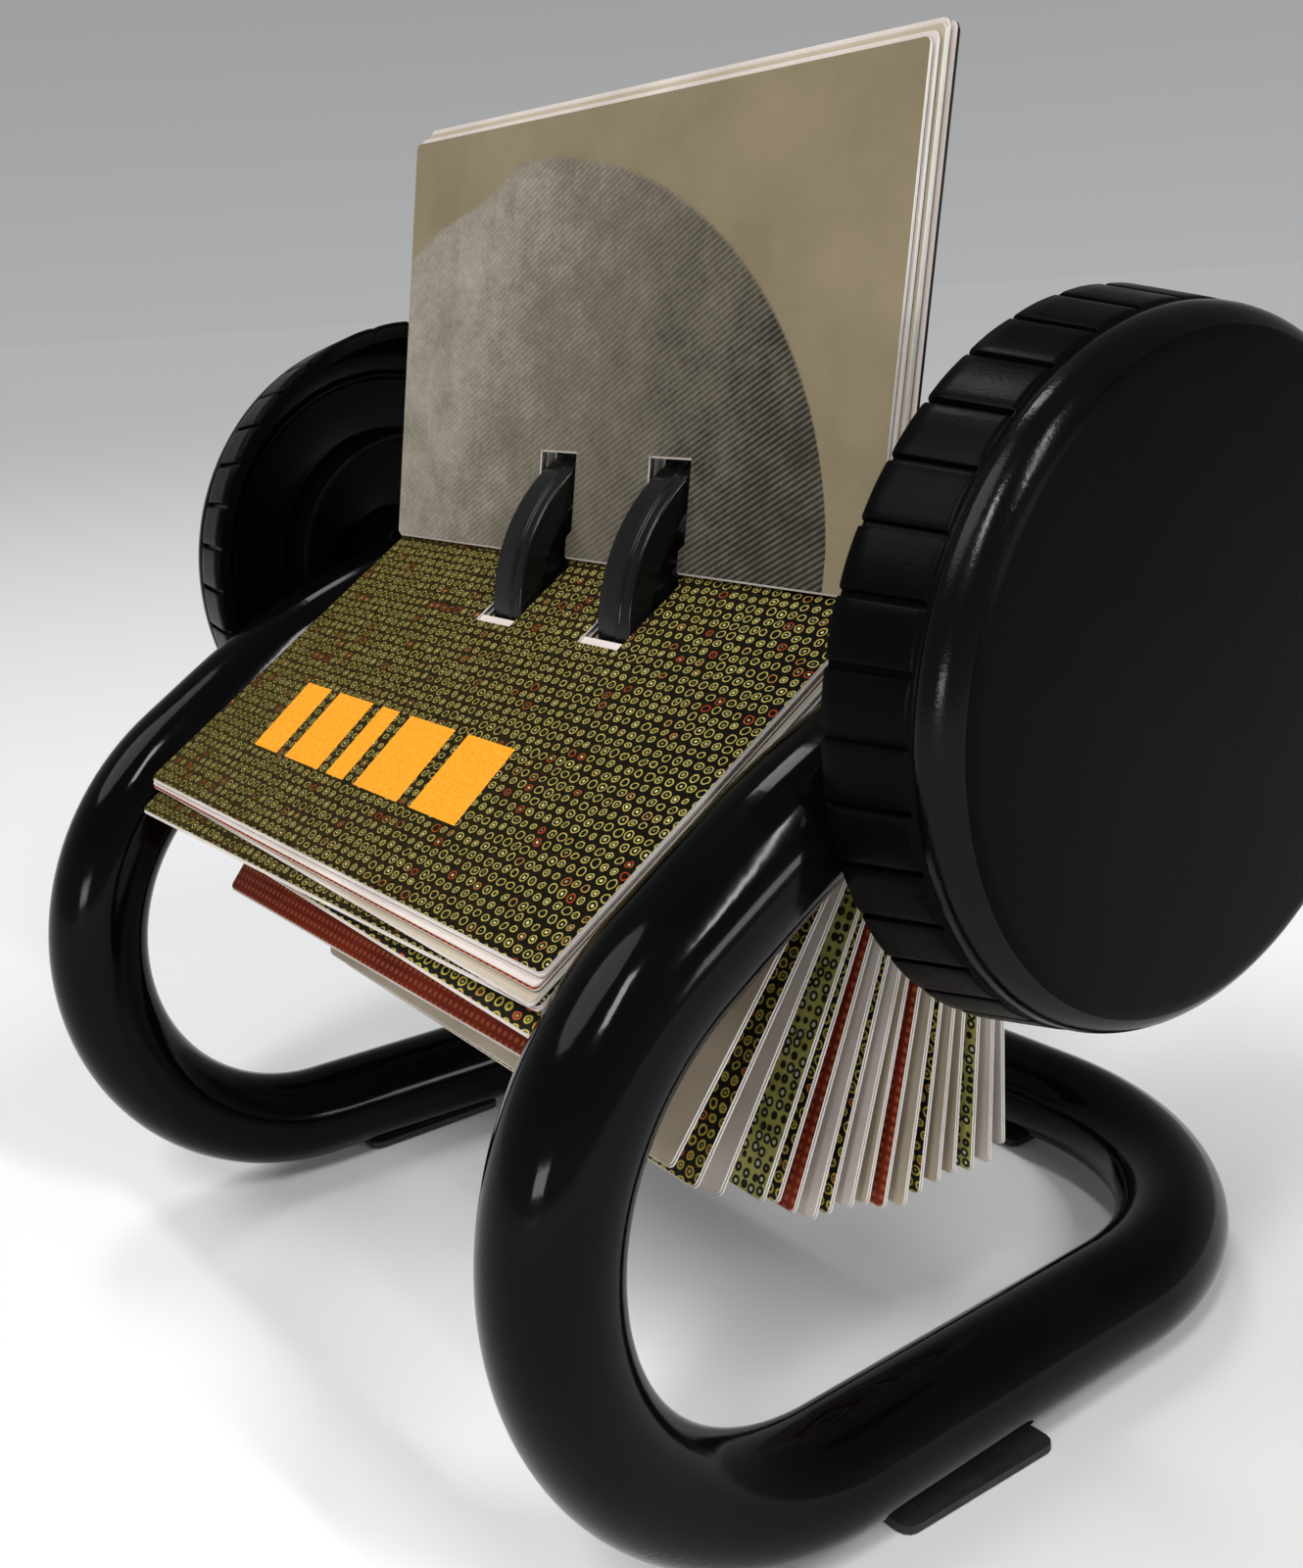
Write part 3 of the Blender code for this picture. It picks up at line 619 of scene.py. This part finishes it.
def knob(tag, sign):
    """Hollow knob: 36 crowned pads between narrow grooves, a ring line, a rounded shoulder, a flat face."""
    pitch = 2 * math.pi / KNOB_PADS
    crown = 39.3
    # one groove and one pad: place along the rim, height over the pad's crown
    local = ((-0.26, -0.78), (0.26, -0.78), (0.36, -0.30), (0.44, -0.07), (0.70, 0.0), (1.5, 0.03), (2.6, 0.05),
             (3.43, 0.06), (4.26, 0.05), (5.36, 0.03), (6.16, 0.0), (6.42, -0.07), (6.50, -0.30))
    verts = []
    faces = []

    def row(x, r, groove):
        """One ring of vertices; groove is how much of the pad pattern shows in it."""
        made = []
        for k in range(KNOB_PADS):
            for s, d in local:
                a = pitch * k + s / crown
                made.append(len(verts))
                q = r + d * groove
                verts.append((sign * x, q * math.cos(a), AXLE_H + q * math.sin(a)))
        return made

    pad_start = 67.4
    rows = [row(KNOB_IN, 38.5, 0.25), row(66.86, 38.8, 0.5), row(67.05, 39.05, 0.8), row(pad_start, PAD_R, 1.0)]
    rows += [row(pad_start + PAD_LONG * t / 5, PAD_R - PAD_TAPER * t / 5, 1.0) for t in range(1, 6)]
    rows += [row(76.15, 37.58, 0.9), row(76.3, 37.5, 0.35), row(76.45, 37.4, 0.0), row(76.62, 37.15, 0.0)]
    rows += [row(76.9, 37.08, 0.0), row(77.08, 37.22, 0.0), row(77.2, 37.3, 0.0)]
    for k in range(15):
        t = math.radians(6.0 + 6.0 * k)
        rows.append(row(SHOULDER_X + SHOULDER_BEND * math.sin(t), SHOULDER_R + SHOULDER_BEND * math.cos(t), 0.0))
    rows += [row(KNOB_OUT, r, 0.0) for r in (30.0, 22.0, 12.0, 3.0, 0.4)]
    inside = softened([(KNOB_IN, 36.9), (77.6, 35.4), (79.0, 33.8), (79.0, 31.2), (78.1, 31.0), (78.1, 30.2),
                       (79.0, 30.0), (79.0, 21.6), (71.5, 21.3), (71.5, 20.1), (79.0, 19.8), (79.0, 8.4),
                       (68.2, 8.0), (68.2, 3.2), (78.6, 3.2)], 0.4, 3)
    inner = [row(x, r, 0.0) for x, r in inside[2:-4]]
    chain = rows[::-1] + inner
    n = len(chain[0])
    for low, high in zip(chain[:-1], chain[1:]):
        for k in range(n):
            m = (k + 1) % n
            quad = (low[k], high[k], high[m], low[m])
            faces.append(quad[::-1] if sign > 0 else quad)
    faces.append(tuple(chain[0][::-1]) if sign < 0 else tuple(chain[0]))
    faces.append(tuple(chain[-1]) if sign < 0 else tuple(chain[-1][::-1]))
    obj = piece("knob_cap_" + tag, verts, faces, KNOB, "rotor", ["knob_" + tag], 48.0)
    obj.data.materials.append(KNOB_SHOULDER)
    bm = bmesh.new()
    bm.from_mesh(obj.data)
    bmesh.ops.recalc_face_normals(bm, faces=bm.faces[:])
    for f in bm.faces:
        x, y, z = f.calc_center_median() / MM
        on_shoulder = 76.95 < abs(x) < KNOB_OUT - 0.3
        if on_shoulder and math.hypot(y - AXLE_Y, z - AXLE_H) > SHOULDER_R + 0.7:
            f.material_index = 1
    bm.to_mesh(obj.data)
    bm.free()


tube()
wheels()
knob("right", 1.0)
knob("left", -1.0)

NODE_LOOK = {
    "axle_rod": STEEL, "thrust_washer_right": STEEL,
    "thrust_washer_left": STEEL, "wave_spring_washer": SPRING, "axle_bush_right": BUSH,
    "axle_bush_left": BUSH, "end_plug_right": PLUG, "end_plug_left": PLUG, "spacer_middle": WHEEL,
    "spacer_right": WHEEL, "spacer_left": WHEEL,
    "foot_strip_right": RUBBER, "foot_strip_left": RUBBER, "foot_strip_rear": RUBBER,
}
for node, mat in NODE_LOOK.items():
    NODES[node].data.materials.clear()
    NODES[node].data.materials.append(mat)


# ------------------------------------------------------------------ cards
def card_shape(deep, half):
    """Outline with the two necked slots, x across and v up from the slotted edge."""
    pts = []
    corner = CARD_CORNER
    x0, x1 = -CARD_W / 2.0, CARD_W / 2.0
    neck_end, slot_start = 2.6, 3.5
    for cx, cv, start in ((x0 + corner, corner, 180), (x1 - corner, corner, 270),
                          (x1 - corner, CARD_H - corner, 0), (x0 + corner, CARD_H - corner, 90)):
        if start == 270:
            for wx in WHEELS:
                pts += [(wx - NECK_HALF, 0.0), (wx - NECK_HALF, neck_end), (wx - half, slot_start), (wx - half, deep)]
                pts += [(wx + half, deep), (wx + half, slot_start), (wx + NECK_HALF, neck_end), (wx + NECK_HALF, 0.0)]
        for step in range(7):
            a = math.radians(start + 15 * step)
            pts.append((cx + corner * math.cos(a), cv + corner * math.sin(a)))
    return pts


def in_order(parts, key):
    """Sort vertices or faces, which the cuts leave in no fixed order, so that each run gives the same mesh."""
    rank = {part: i for i, part in enumerate(sorted(parts, key=key))}
    parts.sort(key=rank.get)
    parts.index_update()


def cards(name, sheets, alpha, offset, inner, body, shift=0.0, skew=0.0, drop=0.0, twist=0.0,
          facing=-1, deep=0.0, edge=None, worn=False):
    """One CAD card shown as thin sheets, each (stock, plane, across, along).
    alpha: lean below the user's level line; offset: card plane from the axle; inner: slotted edge from the
    axle along the card; shift, skew, drop, twist: the card's own crookedness in millimetres;
    facing: which sheet is the outer one; deep: how much further its slots are cut than the others';
    worn: wide slots throughout."""
    a = math.radians(alpha)
    u = np.array((0.0, -math.cos(a), -math.sin(a)))
    n = np.array((0.0, -math.sin(a), math.cos(a)))
    centre = np.array((0.0, AXLE_Y, AXLE_H))
    whole = bmesh.new()
    layer = whole.loops.layers.uv.new("card")
    used = []
    for sheet in sheets:
        stock, plane, across, along = sheet
        bm = bmesh.new()
        top = sheet == sheets[facing]
        outline = card_shape(SLOT_DEEP + deep * top, SLOT_HALF if top and not worn else SLOT_WIDE)
        ring = [bm.verts.new((x, v, -SHEET / 2.0)) for x, v in outline]
        made = bmesh.ops.extrude_face_region(bm, geom=[bm.faces.new(ring)])
        for g in made["geom"]:
            if isinstance(g, bmesh.types.BMVert):
                g.co.z += SHEET
        for x in range(-45, 50, 10):
            bmesh.ops.bisect_plane(bm, geom=bm.verts[:] + bm.edges[:] + bm.faces[:], plane_co=(x, 0, 0),
                                   plane_no=(1, 0, 0))
        for v in (20.0, 32.0, 44.0):
            bmesh.ops.bisect_plane(bm, geom=bm.verts[:] + bm.edges[:] + bm.faces[:], plane_co=(0, v, 0),
                                   plane_no=(0, 1, 0))
        bm.normal_update()
        if stock not in used:
            used.append(stock)
        index = {}
        for v in bm.verts:
            x, al, th = v.co
            rel = x / (CARD_W / 2.0)
            lift = (al / CARD_H) * (drop + twist * rel)
            p = centre + np.array((1.0, 0, 0)) * (x + shift + across - 0.25 * skew * (al - 8.0) / 50.4)
            p = p + u * (inner + along + al + skew * rel) + n * (offset + plane + th + lift)
            index[v] = tuple(p * MM)
        for f in bm.faces:
            flat = all(abs(v.co.z - f.verts[0].co.z) < 1e-6 for v in f.verts)
            new = whole.faces.new([whole.verts.new(index[v]) for v in f.verts])
            new.material_index = used.index(stock) + 1 if flat else 0
            for loop, v in zip(new.loops, f.verts):
                loop[layer].uv = (v.co.x + across * 7.0, v.co.y)
        bm.free()
    bmesh.ops.remove_doubles(whole, verts=whole.verts[:], dist=1e-7)
    if whole.calc_volume(signed=True) < 0.0:
        bmesh.ops.reverse_faces(whole, faces=whole.faces[:])
    in_order(whole.verts, lambda v: tuple(v.co))
    in_order(whole.faces, lambda f: sorted(v.index for v in f.verts))
    mesh = bpy.data.meshes.new(name + "_sheets")
    whole.to_mesh(mesh)
    whole.free()
    obj = bpy.data.objects.new(name + "_sheets", mesh)
    SC.collection.objects.link(obj)
    mesh.materials.append(edge or EDGE)
    for stock in used:
        mesh.materials.append(STOCKS[stock])
    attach(obj, body)
    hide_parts(name)


def stack(high, low):
    """Two thin sheets in the room of one thick card, a little out of line with each other."""
    return [(low, -SHEET_OUT, 0.10, 0.25), (high, SHEET_OUT, 0.0, 0.0)]


STEP = 0.85           # from one card's plane to the next in a bunch
STAND_LEAN = 261.5    # the standing bunch, nearly upright
LIE_LEAN = 32.9       # the lying bunch
RED_LEAN = 49.0       # the red card hangs loose under it

# node, slot, rear stock, front stock, slotted edge, shift
STANDING = (("card_dome_print", "tan", "white", "dome", 5.05, 0.0),
            ("card_standing_2", "white", "tan", "white", 5.8, 0.1),
            ("card_standing_3", "tan", "white", "tan", 6.6, 0.3),
            ("card_standing_4", "white", "tan", "white", 7.4, -0.2),
            ("card_standing_5", "dark", "dark", "white", 7.1, 0.35))
for k, (name, slot, rear, front, inner, shift) in enumerate(STANDING):
    cards(name, stack(rear, front), STAND_LEAN, -15.9 + STEP * k, inner, "standing_cards", shift,
          facing=0, edge=BLACK_EDGE if slot == "dark" else None, worn=k > 0)

# node, slot, upper stock, lower stock, slotted edge, shift, skew
LYING = (("card_lattice_print", "lattice", "bars", "white", 6.1, 0.0, 0.5),
         ("card_lying_2", "white", "white", "red", 7.0, -0.2, 0.9),
         ("card_lying_3", "tan", "tan", "white", 7.5, 0.1, 1.8),
         ("card_lying_4", "olive", "lattice", "white", 9.4, -0.1, -0.3))
for k, (name, slot, upper, lower, inner, shift, skew) in enumerate(LYING):
    cards(name, stack(upper, lower), LIE_LEAN, 13.42 - STEP * k, inner, "lying_cards", shift, skew,
          deep=1.6 if k == 0 else 0.0)
cards("card_dark_print", stack("dark", "white"), LIE_LEAN, 9.95, 9.3, "lying_cards",
      shift=0.0, skew=1.7, drop=-1.2, twist=-1.25)
cards("card_red_print", stack("red", "white"), RED_LEAN, 10.7, 7.75, "lying_cards",
      shift=-0.5, skew=0.5, drop=0.0, twist=1.5)

# The hanging cards fan out under the axle. The first ones hang crooked, each less than the one before.
HANGING = ("tan", "dark", "white", "olive", "dark", "red", "white", "dark", "white",
           "tan", "red", "tan", "dark", "tan", "tan", "olive", "white", "white")
LEADING = 3           # cards swung ahead of the rest
LEAD_ROOT = 10.9      # slotted edge from the axle
LEAD_TWIST = 11.9     # degrees between the two ends of the first card
UNTWIST = 1.25        # degrees less for each card after it
for k, slot in enumerate(HANGING):
    crooked = max(0.0, LEAD_TWIST - UNTWIST * k)
    right_end = 47.6 + 3.9 * k if k < LEADING else 60.9 + 2.6 * (k - LEADING) + 0.12 * math.sin(2.3 * k)
    phi = right_end + crooked / 2.0    # far edge, degrees below the user's level line
    psi = 27.0 + 5.8 * k               # slotted edge
    gap = math.radians(phi - psi)
    near = LEAD_ROOT + 0.7 * math.sin(1.3 * k)
    far = near * math.cos(gap) + math.sqrt(CARD_H ** 2 - (near * math.sin(gap)) ** 2)
    near_pt = np.array((near * math.cos(math.radians(psi)), near * math.sin(math.radians(psi))))
    far_pt = np.array((far * math.cos(math.radians(phi)), far * math.sin(math.radians(phi))))
    d = (far_pt - near_pt) / np.linalg.norm(far_pt - near_pt)
    cards("card_hanging_%02d" % (k + 1), stack(slot, "white"), math.degrees(math.atan2(d[1], d[0])),
          float(near_pt[0] * d[1] - near_pt[1] * d[0]), float(np.dot(near_pt, d)),
          "hanging_cards", (0.0, 0.3, -0.2, 0.15, -0.3)[k % 5],
          twist=far * math.tan(math.radians(crooked / 2.0)))
